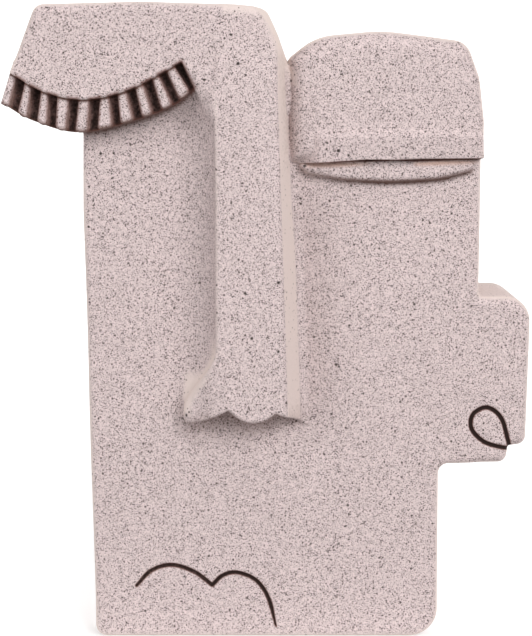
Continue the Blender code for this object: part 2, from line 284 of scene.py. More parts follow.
# %% [markdown]
# ## Measuring distance in the drawing
#
# A solid can be described by how far each point in space is from its surface, below zero
# inside it. Such a distance field rounds, fills and joins forms with simple arithmetic, which
# is why it is used here in place of Booleans: a casting has a small radius everywhere, and a
# field gives each edge and each inner corner the radius that it really has. Everything starts
# from the distance to a line on the drawing.

# %% Measure distances to lines
def line_distance(line, x, z):
    """How far points are from an open line, and at what share of its length they are nearest."""
    nearest = np.full(np.shape(x), np.inf)
    place = np.zeros(np.shape(x))
    line = np.asarray(line, float)
    lengths = np.concatenate([[0], np.cumsum(np.hypot(*np.diff(line, axis=0).T))])
    for (x0, z0), (x1, z1), start, end in zip(line, line[1:], lengths, lengths[1:]):
        step_x, step_z = x1 - x0, z1 - z0
        share = np.clip(((x - x0) * step_x + (z - z0) * step_z) / (end - start) ** 2, 0, 1)
        distance = np.hypot(x - x0 - share * step_x, z - z0 - share * step_z)
        closer = distance < nearest
        nearest = np.where(closer, distance, nearest)
        place = np.where(closer, (start + share * (end - start)) / lengths[-1], place)
    return nearest, place


def plan_distance(plan, x, z):
    """How far points are from a closed plan's outline, below zero inside it."""
    ring = list(plan) + [plan[0]]
    distance, _ = line_distance(ring, x, z)
    inside = np.zeros(np.shape(x), bool)
    for (x0, z0), (x1, z1) in zip(ring, ring[1:]):
        if z0 != z1:
            crosses = (z0 <= z) != (z1 <= z)
            inside ^= crosses & (x < x0 + (x1 - x0) * (z - z0) / (z1 - z0))
    return np.where(inside, -distance, distance)


def smooth_step(share):
    share = np.clip(share, 0, 1)
    return share * share * (3 - 2 * share)


# %% [markdown]
# ## Rounding and joining
#
# Two half spaces that meet make a sharp edge where the larger of their distances is zero.
# Replacing the corner of that maximum by a quarter circle gives an edge of any radius. The
# same trick on the minimum fills an inner corner, as plaster does when a finger runs along it.

# %% Round an edge, fill a corner
def edge(a, b, radius):
    """What is inside both, with the edge between them rounded."""
    past_a = np.maximum(a + radius, 0)
    past_b = np.maximum(b + radius, 0)
    return np.minimum(np.maximum(a + radius, b + radius), 0) + np.hypot(past_a, past_b) - radius


def corner(a, b, radius):
    """What is inside either, with the corner between them filled."""
    near_a = np.minimum(a - radius, 0)
    near_b = np.minimum(b - radius, 0)
    return np.maximum(np.minimum(a - radius, b - radius), 0) - np.hypot(near_a, near_b) + radius


# %% [markdown]
# ## The grid that holds the field
#
# The field is worked out on a grid of small cells, one slice at a time from the back to the
# tip of the nose. A cell of 0.6 mm is fine enough for the roundings of the lashes. The long
# straight sides behind the cheeks need far fewer slices, so those are wider apart. Each
# plan's distance is measured once, for all slices.

# %% Lay out the grid
CELL = 0.6
WIDE_CELL = 3
MARGIN = 3 * CELL
BACK_ZONE = BACK_AHEAD + 5
FRONT_ZONE = -6
grid_x = np.arange(node_low.x / UNIT - MARGIN, node_high.x / UNIT + MARGIN, CELL)
grid_z = np.arange(-MARGIN, PLAN_HEIGHT + MARGIN, CELL)
grid_ahead = np.concatenate([
    np.arange(BACK_AHEAD - MARGIN, BACK_ZONE, CELL),
    np.arange(BACK_ZONE, FRONT_ZONE, WIDE_CELL),
    np.arange(FRONT_ZONE, NOSE_AHEAD + MARGIN, CELL),
])
plan_x, plan_z = np.meshgrid(grid_x, grid_z, indexing="ij")
to_trunk = plan_distance(TRUNK, plan_x, plan_z)
to_left_head = plan_distance(LEFT_HEAD, plan_x, plan_z)
to_lash_band = plan_distance(LASH_BAND, plan_x, plan_z)
to_dome = plan_distance(DOME, plan_x, plan_z)
to_rim = plan_distance(LID_RIM, plan_x, plan_z)
to_lower_lid = plan_distance(LOWER_LID, plan_x, plan_z)
to_slit = plan_distance(SLIT, plan_x, plan_z)
to_lid_line, _ = line_distance(LID_LINE, plan_x, plan_z)
print(len(grid_ahead), "slices of", plan_x.shape, "points")

# %% [markdown]
# ## The lashes
#
# Ten gaps part the band below the lid into short blocks. They fan out: the first leans to the
# left, the middle ones hang straight and the last lean well to the right, because each gap
# runs from its own place on the lid's line to its own place on the band's edge. Those places
# are shares of the two lines' lengths, a little uneven, as a hand would cut them.

# %% Fan out the gaps
GAP_TOPS = (0.067, 0.163, 0.259, 0.374, 0.487, 0.589, 0.688, 0.789, 0.881, 0.982)
GAP_FEET = (0.068, 0.166, 0.260, 0.352, 0.455, 0.570, 0.675, 0.770, 0.870, 0.975)
GAP_WIDTH = 4.1
GAP_WIDTH_DRIFT = 0.35
GAP_OVERRUN = 4
gap_tops = places_along(LID_LINE, GAP_TOPS)
gap_feet = places_along(LASH_EDGE, GAP_FEET)
gap_widths = GAP_WIDTH + GAP_WIDTH_DRIFT * np.sin(2.1 * np.arange(len(GAP_TOPS)))


def gap_distance(x, z):
    """How far points are from the nearest gap between two lashes, below zero in the gap."""
    nearest = np.full(np.shape(x), np.inf)
    for top, foot, width in zip(gap_tops, gap_feet, gap_widths):
        run = np.hypot(*(foot - top))
        along_x, along_z = (foot - top) / run
        middle = (top + foot) / 2
        across = np.abs((x - middle[0]) * along_z - (z - middle[1]) * along_x) - width / 2
        along = np.abs((x - middle[0]) * along_x + (z - middle[1]) * along_z)
        nearest = np.minimum(nearest, np.maximum(across, along - run / 2 - GAP_OVERRUN))
    return nearest


to_gap = gap_distance(plan_x, plan_z)
print("the gaps are", round(float(np.hypot(*(gap_tops[5] - gap_tops[4]))), 1), "units apart")

# %% [markdown]
# ## A hand-made surface
#
# A mould that was carved by hand is never truly flat. A sum of a few slow waves, at most half
# a unit deep, lowers the height of every form a little, so that long faces and edges waver as
# they do on the real piece. The waves only take away, because the solid's box is the limit.

# %% Add slow waves
WAVES = ((0.031, 0.017, 0.4), (-0.019, 0.043, 2.1), (0.053, 0.037, 4.0), (0.071, -0.061, 1.3))
WAVE_DEPTH = 0.055
FOOT_ZONE = 20
waves = sum(np.sin(plan_x * a + plan_z * b + c) - 1 for a, b, c in WAVES) * WAVE_DEPTH
side_waves = waves * smooth_step(plan_z / FOOT_ZONE)
print("the waves are at most", round(float(-waves.min()), 2), "units deep")

# %% [markdown]
# ## The nose and the forehead
#
# The nose is a wedge. Its left side runs down as one hollow cove into the cheek, and near its
# foot it swings out into a wing that falls back as it goes. Its right side is a plain leaning
# wall. Below, it hangs in soft lobes between cusps. The forehead comes down from the lid and
# fades out beside it. Each of these is a height or an edge that depends on where it is on the
# drawing, so each is a line or two of arithmetic on the grid.

# %% Shape the nose and the forehead
RIDGE_LEFT = -25.6
RIDGE_RIGHT = 1.6
RIDGE_LEAN = 0.0325
FOOT_RIGHT = 7.4
FOOT_LEAN = 0.039
BRIDGE = 274
NOSE_TOP = 298
CROWN_TAPER = 11
WING_TOP = 143
NOSE_BASE = 112
WING_REACH = 15.5
WING_SHOULDER = 5
WING_FALL = 9
RIDGE_FADE = (258, 291)
LOBES = ((-38.5, 105.4, 0.6), (-20, 114.2, 5.4), (2, 113, 0.5), (6.6, 111.2, 0), (15, 101, 0))
UNDERSIDE_SLOPE = 0.16
FOREHEAD_TOP = 281
FOREHEAD_FOOT = 229
FOREHEAD_SPREAD = 0.8
HEAD_FOOT = 262

wing_share = smooth_step((WING_TOP - plan_z) / (WING_TOP - NOSE_BASE))
ridge_left = RIDGE_LEFT - WING_REACH * wing_share
below_bridge = BRIDGE - np.minimum(plan_z, BRIDGE)
above_bridge = np.maximum(plan_z - BRIDGE, 0) / (NOSE_TOP - BRIDGE)
ridge_right = RIDGE_RIGHT + below_bridge * RIDGE_LEAN - CROWN_TAPER * above_bridge**2
foot_right = FOOT_RIGHT + below_bridge * FOOT_LEAN - CROWN_TAPER * above_bridge**2
ridge_fade = smooth_step((plan_z - RIDGE_FADE[0]) / (RIDGE_FADE[1] - RIDGE_FADE[0]))
fallen = smooth_step((RIDGE_LEFT + WING_SHOULDER - plan_x) / (WING_REACH + WING_SHOULDER))
wing_zone = smooth_step((WING_TOP - plan_z) / (WING_TOP - NOSE_BASE - WING_SHOULDER))
nose_ahead = NOSE_AHEAD - (NOSE_AHEAD - LID_AHEAD) * ridge_fade - WING_FALL * fallen * wing_zone + waves

forehead_foot = np.minimum(FOREHEAD_FOOT + FOREHEAD_SPREAD * (RIDGE_LEFT - plan_x), FOREHEAD_TOP - 1)
forehead_share = smooth_step((plan_z - forehead_foot) / (FOREHEAD_TOP - forehead_foot))
forehead_ahead = LID_AHEAD * forehead_share + waves


def lobed(x):
    """The height of the nose's lower edge, which hangs in lobes between cusps."""
    height = np.full(np.shape(x), float(LOBES[0][1]))
    for (x0, z0, sag), (x1, z1, _) in zip(LOBES, LOBES[1:]):
        share = np.clip((x - x0) / (x1 - x0), 0, 1)
        lobe = z0 + (z1 - z0) * share - 4 * sag * share * (1 - share)
        height = np.where(x >= x0, lobe, height)
    return height


def steepness(height):
    """How much longer a sloping surface is than its plan, so that a height gives a true distance."""
    slope_x, slope_z = np.gradient(height, CELL)
    return np.hypot(1, np.hypot(slope_x, slope_z))


lower_edge = lobed(plan_x)
nose_slope = steepness(nose_ahead)
forehead_slope = steepness(forehead_ahead)
wing_slope = np.hypot(1, np.gradient(ridge_left, CELL, axis=1))
print("the nose hangs to", round(float(lower_edge.min()), 1), "units")

# %% [markdown]
# ## Radii that change from place to place
#
# The cove beside the nose is the largest radius on the piece. It is narrow under the crown,
# twenty units wide down the cheek and tight again round the wing, while the right side and
# the underside of the nose meet the cheek in a crisp corner. The lid is soft along its top
# and nearly sharp where it overhangs the lashes. A radius can be an array just as well as a
# number, so these changes cost nothing. No cove is wider than the step that it fills, because
# it would then swell over the top of that step.

# %% Work out the radii
COVE_WIDTH = 20
COVE_WIDTH_TOP = 4
COVE_WIDTH_WING = 5
COVE_START = 8
FOOT_COVE = 3.6
RIDGE_ROUND = 2.0
CRISP = 1.2
UNDER_ROUND = 3.6
SMALLEST = 0.05
LID_ROUND = 4
LID_LINE_ROUND = 1.0
LID_COVE = 8
LID_COVE_START = -38
LID_COVE_RUN = 12

brow_share = smooth_step((plan_z - FOREHEAD_FOOT) / (FOREHEAD_TOP - FOREHEAD_FOOT))
cove_width = COVE_WIDTH - (COVE_WIDTH - COVE_WIDTH_TOP) * brow_share
cove_width -= (COVE_WIDTH - COVE_WIDTH_WING) * wing_share
left_side = smooth_step((RIDGE_LEFT + COVE_START - plan_x) / COVE_START)
left_side *= smooth_step((plan_z - NOSE_BASE) / CELL / 10)
nose_step = nose_ahead - np.maximum(forehead_ahead, 0)
right_side = smooth_step((plan_x - foot_right + 4) / 4) * smooth_step((plan_z - NOSE_BASE + 14) / 8)
nose_corner = CRISP + (cove_width - CRISP) * left_side + (FOOT_COVE - CRISP) * right_side
nose_corner = np.minimum(nose_corner, nose_step)
nose_corner = np.maximum(nose_corner, SMALLEST)
wing_tip = smooth_step((RIDGE_LEFT - 5 - plan_x) / 8)
under_round = CRISP + (UNDER_ROUND - CRISP) * wing_tip
ridge_round = RIDGE_ROUND + RIDGE_ROUND * wing_tip
lid_round = LID_LINE_ROUND + (LID_ROUND - LID_LINE_ROUND) * smooth_step((to_lid_line - 1.5) / 9)
lid_corner = LID_COVE * smooth_step((plan_x - LID_COVE_START) / LID_COVE_RUN)
lid_corner = np.maximum(np.minimum(lid_corner, LID_AHEAD - forehead_ahead), SMALLEST)
print("cove radius from", round(float(nose_corner.min()), 1), "to", round(float(nose_corner.max()), 1))

# %% [markdown]
# ## Cheeks, dome and sunk lines
#
# The right cheek is slightly dished beside the nose, and the dome of the closed eye swells
# towards its middle. The mouth and the ear are drawn as round-bottomed lines, which thin out
# where they end.

# %% Shape the cheeks, the dome and the lines
CHEEK_DISH = 3.0
DISH_PLACE = 12
DISH_WIDTH = 15
DOME_MIDDLE = (52, 258)
DOME_HALF = (46, 40)
RIM_FOLD = (243.5, 4)
RIM_FALL = (239, 10, 0.6)
RIM_END = (12, 11)
RIM_END_FALL = 6
MOUTH_WIDTH = 2.0
EAR_LINE_WIDTH = 2.1
LINE_TAPER = 0.2
SUNK_LINES = (
    (MOUTH[0], MOUTH_WIDTH, 0.75),
    (MOUTH[1], MOUTH_WIDTH, 0.5),
    (EAR_LINE, EAR_LINE_WIDTH, 1),
)

dish_share = np.exp(-(((plan_x - DISH_PLACE) / DISH_WIDTH) ** 2)) * smooth_step((215 - plan_z) / 30)
cheek_ahead = waves - CHEEK_DISH * dish_share * smooth_step((plan_z - 70) / 60)
from_middle_x = (plan_x - DOME_MIDDLE[0]) / DOME_HALF[0]
from_middle_z = (plan_z - DOME_MIDDLE[1]) / DOME_HALF[1]
dome_ahead = DOME_AHEAD + DOME_CROWNING * np.clip(1 - from_middle_x**2 - from_middle_z**2, -1, 1) + waves
rim_fold = smooth_step((RIM_FOLD[0] - plan_z) / RIM_FOLD[1])
rim_end = 1 - smooth_step((plan_x - RIM_END[0]) / RIM_END[1])
rim_fold *= 1 - RIM_FALL[2] * smooth_step((RIM_FALL[0] - plan_z) / RIM_FALL[1])
rim_ahead = dome_ahead + RIM_RISE * rim_fold - RIM_END_FALL * rim_end


def sunk_lines(x, z):
    """For each sunk line, how far points are from its middle and half its width there."""
    for line, width, tip in SUNK_LINES:
        distance, place = line_distance(line, x, z)
        yield distance, width / 2 * (tip + (1 - tip) * np.clip(place / LINE_TAPER, 0, 1))


plan_lines = list(sunk_lines(plan_x, plan_z))

# %% [markdown]
# ## One slice of the face
#
# This is the whole sculpture as arithmetic. For one distance ahead of the cheeks it combines
# the plans and heights above: the trunk, the forehead and the nose with its cove, then the
# lashes with their gaps, the lid over them, and the domed eye with its rims. Last come the
# sunk lines and the flat back. Reading it from top to bottom gives the order in which a
# modeller would add the clay.

# %% Combine the forms
CHEEK_ROUND = 3
EAR_ROUND = 4.5
DOME_ROUND = 8
RIM_ROUND = 0.8
LOWER_LID_ROUND = 3.0
BACK_ROUND = 3
LASH_ROUND = 1.5
LASH_TIP_ROUND = 2.1
LINE_LIP = 0.3
LID_RIGHT = -14
FOREHEAD_RIGHT = -12
TOP_ROUND = 4.5

lash_blocks = edge(to_lash_band, -to_gap, LASH_TIP_ROUND)
to_heads = np.minimum(to_trunk, to_left_head)
to_forehead = np.maximum(to_heads, plan_x - FOREHEAD_RIGHT)
to_lid = np.maximum(to_left_head, plan_x - LID_RIGHT)
to_head_top = np.minimum(to_left_head, plan_z - HEAD_FOOT)
trunk_round = CHEEK_ROUND + (EAR_ROUND - CHEEK_ROUND) * smooth_step((plan_x - 92) / 8)
nose_lean = (foot_right - ridge_right) / NOSE_AHEAD


def nose_slice(ahead):
    """The wedge of the nose, before it is joined to the cheek."""
    behind = NOSE_AHEAD - ahead
    wall = (plan_x - ridge_right - nose_lean * behind) / np.hypot(1, nose_lean)
    left = (ridge_left - plan_x) / wing_slope
    under = lower_edge + UNDERSIDE_SLOPE * (nose_ahead - ahead) - plan_z
    sides = edge(np.maximum(wall, left), under, under_round)
    front = edge((ahead - nose_ahead) / nose_slope, to_head_top, TOP_ROUND)
    return edge(sides, front, ridge_round)


def eye_slice(ahead):
    """The dome of the closed eye, with the rim above its slit and the lid below it."""
    dome = edge(to_dome - side_waves, ahead - dome_ahead, DOME_ROUND)
    rim = edge(to_rim, ahead - rim_ahead, RIM_ROUND)
    lower_lid = edge(to_lower_lid, ahead - LOWER_LID_AHEAD - waves, LOWER_LID_ROUND)
    return np.minimum(np.minimum(dome, rim), lower_lid)


def face_slice(ahead):
    """How far the points of one slice are from the surface of the whole face."""
    trunk = edge(to_trunk - side_waves, ahead - cheek_ahead, trunk_round)
    crown = edge(to_left_head - side_waves, ahead - CROWN_AHEAD - waves, CHEEK_ROUND)
    forehead = edge(to_forehead - side_waves, (ahead - forehead_ahead) / forehead_slope, LID_ROUND)
    body = np.minimum(np.minimum(trunk, np.maximum(crown, FOREHEAD_RIGHT - plan_x)), forehead)
    body = corner(body, nose_slice(ahead), nose_corner)
    gaps = np.maximum(np.maximum(to_gap, to_lash_band), GAP_AHEAD - ahead)
    band = edge(to_lash_band, ahead - GAP_AHEAD, LASH_ROUND)
    lashes = edge(lash_blocks, ahead - LASH_AHEAD - waves, LASH_ROUND)
    body = np.minimum(np.minimum(np.maximum(body, -gaps), band), lashes)
    body = corner(body, edge(to_lid - side_waves, ahead - LID_AHEAD - waves, lid_round), lid_corner)
    body = np.minimum(body, eye_slice(ahead))
    body = np.maximum(body, -np.maximum(to_slit, SLIT_AHEAD - ahead))
    for distance, half_width in plan_lines:
        body = edge(body, half_width - np.hypot(distance, ahead - cheek_ahead), LINE_LIP)
    return edge(body, BACK_AHEAD - ahead, BACK_ROUND)


field = np.stack([face_slice(ahead) for ahead in grid_ahead]).astype(np.float32)
print("inside the face:", int((field < 0).sum()), "grid points")

# %% [markdown]
# ## A skin round the field
#
# The surface runs through every cell of the grid that has corners both inside and outside.
# One point is put in each such cell, at the mean of the places where the cell's edges cross
# the surface, and four neighbouring points make a face. This method is known as surface nets.
# Marching cubes would also do, but it leaves thin slivers that shade badly.

# %% Pull a skin over the field
CORNERS = list(itertools.product((0, 1), repeat=3))
RING = ((-1, -1), (0, -1), (0, 0), (-1, 0))


def skin_points(field, axes):
    """A point for each cell that the surface crosses, and a grid of those points' numbers."""
    shape = [size - 1 for size in field.shape]
    filled = np.zeros(shape, np.uint8)
    for a, b, c in CORNERS:
        filled += field[a:a + shape[0], b:b + shape[1], c:c + shape[2]] < 0
    crossed = (filled > 0) & (filled < len(CORNERS))
    cells = np.argwhere(crossed)
    numbers = np.full(shape, -1, np.int32)
    numbers[crossed] = np.arange(len(cells))
    total = np.zeros((len(cells), 3))
    hits = np.zeros(len(cells))
    for start in CORNERS:
        for axis in range(3):
            if start[axis]:
                continue
            end = np.array(start)
            end[axis] = 1
            near = field[tuple((cells + start).T)]
            far = field[tuple((cells + end).T)]
            crosses = (near < 0) != (far < 0)
            share = np.where(crosses, near / np.where(crosses, near - far, 1), 0)
            for other in range(3):
                place = axes[other][cells[:, other] + start[other]]
                if other == axis:
                    place = place + share * (axes[other][cells[:, other] + 1] - place)
                total[:, other] += np.where(crosses, place, 0)
            hits += crosses
    return total / hits[:, None], numbers


def skin_faces(inside, numbers):
    """Four points round each grid edge that the surface cuts, turned to face outwards."""
    faces = []
    for axis in range(3):
        second, third = (axis + 1) % 3, (axis + 2) % 3
        cut = np.argwhere(np.diff(inside, axis=axis))
        rings = []
        for step_second, step_third in RING:
            cell = cut.copy()
            cell[:, second] += step_second
            cell[:, third] += step_third
            rings.append(numbers[tuple(cell.T)])
        ring = np.stack(rings, axis=1)
        inwards = ~inside[tuple(cut.T)]
        ring[inwards] = ring[inwards][:, ::-1]
        faces.append(ring)
    return np.concatenate(faces)


points, numbers = skin_points(field, (grid_ahead, grid_x, grid_z))
faces = skin_faces(field < 0, numbers)
print(len(points), "points and", len(faces), "faces")

# %% [markdown]
# ## Turn the skin into a mesh, and thin it out
#
# The even skin spends most of its faces on flat cheeks. The Decimate modifier merges faces
# where the surface hardly bends, and keeps them where it does. The flat parts then get too
# few points to carry the painted colours of a later step, so their long edges are split again. This
# is done on the front alone: the sides and the back have one even colour, and thinning leaves
# long slivers there, so splitting those too would give four times as many triangles.

# %% Make the mesh
WANTED_TRIANGLES = 100000
MOST_TRIANGLES = 200000
LONGEST_EDGE = 3.2
FRONT_START = -4
SPLIT_PASSES = 8


def mesh_from(name, points, faces):
    mesh = bpy.data.meshes.new(name)
    mesh.vertices.add(len(points))
    mesh.vertices.foreach_set("co", points.astype(np.float32).ravel())
    mesh.loops.add(faces.size)
    mesh.loops.foreach_set("vertex_index", faces.astype(np.int32).ravel())
    mesh.polygons.add(len(faces))
    mesh.polygons.foreach_set("loop_start", np.arange(0, faces.size, faces.shape[1], dtype=np.int32))
    mesh.update(calc_edges=True)
    mesh.validate()
    return mesh


def thinned(obj, triangles):
    """The object's mesh with about this many triangles, most of them where it bends."""
    lighter = obj.modifiers.new("fewer triangles", "DECIMATE")
    lighter.ratio = triangles / (2 * len(obj.data.polygons))
    lighter.use_collapse_triangulate = True
    graph = bpy.context.evaluated_depsgraph_get()
    mesh = bpy.data.meshes.new_from_object(obj.evaluated_get(graph))
    obj.modifiers.clear()
    return mesh


def corners_and_triangles(mesh):
    """The mesh's points and its triangles, as arrays."""
    points = np.zeros(3 * len(mesh.vertices), np.float32)
    mesh.vertices.foreach_get("co", points)
    triangles = np.zeros(3 * len(mesh.polygons), np.int32)
    mesh.polygons.foreach_get("vertices", triangles)
    return points.reshape(-1, 3), triangles.reshape(-1, 3)


def turned(triangles, first):
    """The same triangles, each starting from another of its corners."""
    order = (first[:, None] + np.arange(3)) % 3
    return np.take_along_axis(triangles, order, axis=1)


def split_long_edges(points, triangles, longest, furthest):
    """Halves the long edges that start before this depth, and cuts their triangles there."""
    sides = np.sort(np.stack([triangles, np.roll(triangles, -1, axis=1)], axis=2), axis=2)
    pairs, place = np.unique(sides.reshape(-1, 2), axis=0, return_inverse=True)
    long = np.linalg.norm(points[pairs[:, 0]] - points[pairs[:, 1]], axis=1) > longest
    long &= points[pairs][:, :, 1].min(axis=1) < furthest
    middle = np.full(len(pairs), -1)
    middle[long] = len(points) + np.arange(long.sum())
    points = np.concatenate([points, points[pairs[long]].mean(axis=1)])
    middles = middle[place.reshape(-1)].reshape(-1, 3)
    split = middles >= 0
    pieces = [triangles[split.sum(axis=1) == 0]]
    for count in (1, 2, 3):
        some = split.sum(axis=1) == count
        whole = (~split[some]).argmax(axis=1)
        first = {1: split[some].argmax(axis=1), 2: whole + 1, 3: whole}[count]
        a, b, c = turned(triangles[some], first).T
        ab, bc, ca = turned(middles[some], first).T
        cuts = {
            1: ((a, ab, c), (ab, b, c)),
            2: ((ab, b, bc), (a, ab, bc), (a, bc, c)),
            3: ((a, ab, ca), (ab, b, bc), (bc, c, ca), (ab, bc, ca)),
        }
        pieces += [np.stack(cut, axis=1) for cut in cuts[count]]
    return points, np.concatenate(pieces)


in_metres = np.stack([
    points[:, 1] * UNIT,
    CHEEK_Y - points[:, 0] * UNIT,
    points[:, 2] * UNIT,
], axis=1)
face = bpy.data.objects.new("stone_face", mesh_from("even skin", in_metres, faces))
bpy.context.scene.collection.objects.link(face)
points, triangles = corners_and_triangles(thinned(face, WANTED_TRIANGLES))
print(len(triangles), "triangles after thinning")
split_end = CHEEK_Y - FRONT_START * UNIT
for _ in range(SPLIT_PASSES):
    points, triangles = split_long_edges(points, triangles, LONGEST_EDGE * UNIT, split_end)
print(len(triangles), "triangles with no long edges on the front, of at most", MOST_TRIANGLES)

# %% [markdown]
# ## Keep inside the solid's box
#
# The solid's box is what the part's users measure, so no point of the fine surface may pass
# it. Clipping the coordinates moves a few points at the extremes by a fraction of a
# millimetre, which nobody sees.

# %% Clip to the box
clipped = np.clip(points, np.array(node_low), np.array(node_high))
print("clipped by at most", round(1000 * float(np.abs(clipped - points).max()), 2), "mm")
face.data = mesh_from("stone face", clipped, triangles)
face.data.shade_smooth()

# %% [markdown]
# ## Where the paint goes
#
# Dark brown paint lies in the gaps between the lashes, in the slit of the closed eye, and in
# the lines of the mouth and the ear. A texture image could hold it, but the drawing already
# says where it is. So each point of the mesh stores how deep it lies in the paint, counted in
# steps over which the paint fades: a wide step in the gaps, where a brush was wiped off, and a
# narrow one in the drawn lines. The depth counts too, or the slit's paint would run through to
# the back. The material turns that number into colour.

# %% Store how deep each point lies in the paint
GAP_FADE = 1.5
LINE_FADE = 0.4
LINE_DEEPEST = (0.7, 0.8, 2)
SLIT_FADE = 0.35
SLIT_DEEPEST = 0.4
DEEPEST = 6
UNDER_LID = 0.4
UNDER_FLOOR = 1
UNDER_LINE = 3
vert_x = clipped[:, 0] / UNIT
vert_z = clipped[:, 2] / UNIT
vert_ahead = (CHEEK_Y - clipped[:, 1]) / UNIT


def store(name, values):
    attribute = face.data.attributes.new(name, "FLOAT", "POINT")
    attribute.data.foreach_set("value", values.astype(np.float32))


vert_band = plan_distance(LASH_BAND, vert_x, vert_z)
vert_head = plan_distance(LEFT_HEAD, vert_x, vert_z)
outside_gaps = np.maximum(gap_distance(vert_x, vert_z), vert_band)
outside_gaps = np.maximum(outside_gaps, -vert_head - UNDER_LID)
outside_gaps = np.maximum(outside_gaps, GAP_AHEAD - UNDER_FLOOR - vert_ahead)
paint = -outside_gaps / GAP_FADE
for (distance, half_width), deepest in zip(sunk_lines(vert_x, vert_z), LINE_DEEPEST):
    outside_line = np.maximum(distance - half_width, -UNDER_LINE - vert_ahead)
    paint = np.maximum(paint, np.minimum(-outside_line / LINE_FADE, deepest))
behind_slit = SLIT_AHEAD - UNDER_FLOOR - vert_ahead
outside_slit = np.maximum(plan_distance(SLIT, vert_x, vert_z), behind_slit)
in_slit = np.minimum(-outside_slit / SLIT_FADE, SLIT_DEEPEST)
paint = np.maximum(paint, in_slit)
store("paint", np.clip(paint, -DEEPEST, DEEPEST))
print("painted:", int((paint > 0).sum()), "points of", len(paint))

# %% [markdown]
# ## Wiped colour and painted shade in the creases
#
# When such a piece is wiped after painting, thin brown colour stays in some of its creases: at
# the tips of the lashes and under the lower lid. The same brown paints shade as well: a painted
# shadow under the nose, painted shade beside the dome, and along the lid's line paint and painted
# shade together. A thinner pink stays below the slit. Each of these is a line of the drawing with
# a reach and a strength, and a point stores the strongest of them. The strength falls evenly with
# the distance, so few mesh points are enough to hold it.

# %% Store the wiped colour and the painted shade
LOWER_CREASE = through(((16, 222.6), (32, 219.6), (54, 218.4), (77, 219.7), (92, 223.4)))
# Below the nose the brown is a painted shadow, with a little wiped brown in it; beside the dome it is
# painted shade.
UNDER_NOSE = through(((-36, 104), (-22, 109), (-7, 105), (3, 108.5), (11, 108)))
DOME_CREASE = ((8, 228), (7.2, 250), (6.4, 273))
# Along the lid's line the brown is wiped paint and painted shade together; at the lashes' tips and under
# the lower lid it is wiped paint only.
BROWN_LINES = (
    (LOWER_CREASE, 1.9, 1.3, (0.6, 0.9)),
    (LID_LINE, 1.3, 1.5, (0.5, 0.04)),
    (LASH_EDGE, 2.2, 1.1, (0.5, 0.1)),
    (DOME_CREASE, 1.8, 0.08, (0.5, 0.6)),
    (UNDER_NOSE, 7, 0.42, (0.45, 0.5)),
)
PINK_LINES = (
    (((17, 226.2), (44, 227)), 1.7, 1.0, (0.4, 0.8)),
    (((66, 227), (96, 228)), 1.7, 1.0, (0.4, 0.8)),
)
NO_WASH_AND_SHADE = -2.0
LID_MARGIN = 0.2


def wiped_and_shaded(lines, x, z):
    """How much wiped colour and painted shade each point gets, below zero where there is none."""
    strongest = np.full(np.shape(x), NO_WASH_AND_SHADE)
    for line, reach, strength, (middle, fade) in lines:
        distance, place = line_distance(line, x, z)
        from_middle = np.abs(place - middle) / max(middle, 1 - middle)
        here = strength * (1 - fade * from_middle**2) * (1 - distance / reach)
        strongest = np.maximum(strongest, here)
    return strongest


on_lid = (vert_head < -LID_MARGIN) & (vert_x < LID_RIGHT)
clean = (vert_ahead > LID_AHEAD) | (vert_ahead < FRONT_START) | on_lid
store("brown", np.where(clean, NO_WASH_AND_SHADE, wiped_and_shaded(BROWN_LINES, vert_x, vert_z)))
store("pink", np.where(clean, NO_WASH_AND_SHADE, wiped_and_shaded(PINK_LINES, vert_x, vert_z)))
print("wiped colour along", len(BROWN_LINES) + len(PINK_LINES), "lines")

# %% [markdown]
# ## Where the spray is thin
#
# The specks are sprayed from the front, so steep walls catch few of them, and they wear off the
# rounded edges first. Both can be measured: steepness from the mesh's normals, and nearness to
# an edge from the drawing. The cove is steep beside the nose, but it lies wide open to the
# spray and keeps its specks. The sides and the back, which nobody has seen, get fewer.

# %% Store how thick the spray lies
THIN_EDGE = 2.2
THIN_EDGE_HEAD = 6
CROWN_EDGE = (-22, 12)
DOME_EDGE = (45, 225, 279)
STEEPEST = 0.2
STEEP_RANGE = 0.35
COVE_LEFT = -60
COVE_FOOT = WING_TOP - 6
RIDGE_STRIP = 1.1
RIDGE_SPRAY = 0.7
FACET_SPRAY = 0.2
EDGE_SPRAY = 0.2
HIDDEN_SPRAY = 0.45
normals = np.zeros(3 * len(face.data.vertices), np.float32)
face.data.vertex_normals.foreach_get("vector", normals)
facing = -normals.reshape(-1, 3)[:, 1]
outline = np.minimum(plan_distance(TRUNK, vert_x, vert_z), plan_distance(DOME, vert_x, vert_z))
outline = np.minimum(np.minimum(outline, vert_head), vert_band)
beside_nose = (vert_x > CROWN_EDGE[0]) & (vert_x < CROWN_EDGE[1]) & (vert_z > HEAD_FOOT)
from_edge = -outline / np.where(beside_nose, THIN_EDGE_HEAD, THIN_EDGE)
beside_dome = (vert_z > DOME_EDGE[1]) & (vert_z < DOME_EDGE[2]) & (vert_x < DOME_EDGE[0])
from_edge = np.where(beside_dome & (vert_head > 0), 1, from_edge)
on_front = vert_ahead > FRONT_START
ridge_x = np.interp(vert_z, grid_z, ridge_left[0])
in_cove = smooth_step((ridge_x + 2 - vert_x) / 2) * smooth_step((vert_x - COVE_LEFT) / 10)
spray = smooth_step((np.abs(facing) - STEEPEST) / STEEP_RANGE)
spray = np.maximum(spray, in_cove * smooth_step((vert_z - COVE_FOOT) / 12))
beside_ridge = np.abs(vert_x - ridge_x - 0.6) / RIDGE_STRIP
on_ridge = (vert_ahead > 4) & (vert_z > NOSE_BASE) & (vert_z < FOREHEAD_TOP - 25)
spray = spray * np.where(on_ridge, RIDGE_SPRAY + (1 - RIDGE_SPRAY) * smooth_step(beside_ridge), 1)
wing_facet = smooth_step((ridge_x + 5 - vert_x) / 4) * smooth_step((vert_ahead - 1) / 2)
